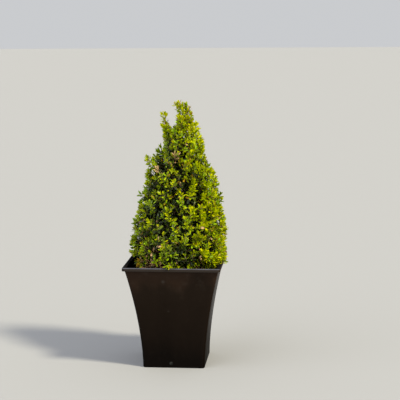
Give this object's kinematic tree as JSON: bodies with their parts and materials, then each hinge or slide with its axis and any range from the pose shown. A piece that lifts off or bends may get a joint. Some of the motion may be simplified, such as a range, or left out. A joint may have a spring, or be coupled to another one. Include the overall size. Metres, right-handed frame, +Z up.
{
  "type": "clipped box plant in a square planter",
  "caption": "Box shrub clipped to a cone with loose shoots at its tip, growing in a flared square planter with a turned-down lip.",
  "frame": {"origin": "centre of the planter's flat underside", "axes": "+Z up; the planter's front face looks along -Y and the plant leans slightly towards +X"},
  "size_m": [0.2569, 0.2532, 0.6792],
  "materials": {
    "planter_plastic": "glossy black-brown moulded plastic, lightly dusty",
    "compost": "crumbly dark compost with bark pieces",
    "bark": "furrowed grey-brown bark",
    "foliage": "small leathery leaves, dark green inside and yellow-green at the tips"
  },
  "bodies": {
    "root": {"planter": "planter_plastic", "compost": "compost", "trunk": "bark", "foliage_cone": "foliage", "foliage_leader": "foliage", "foliage_high_shoot": "foliage"}
  },
  "joints": []
}
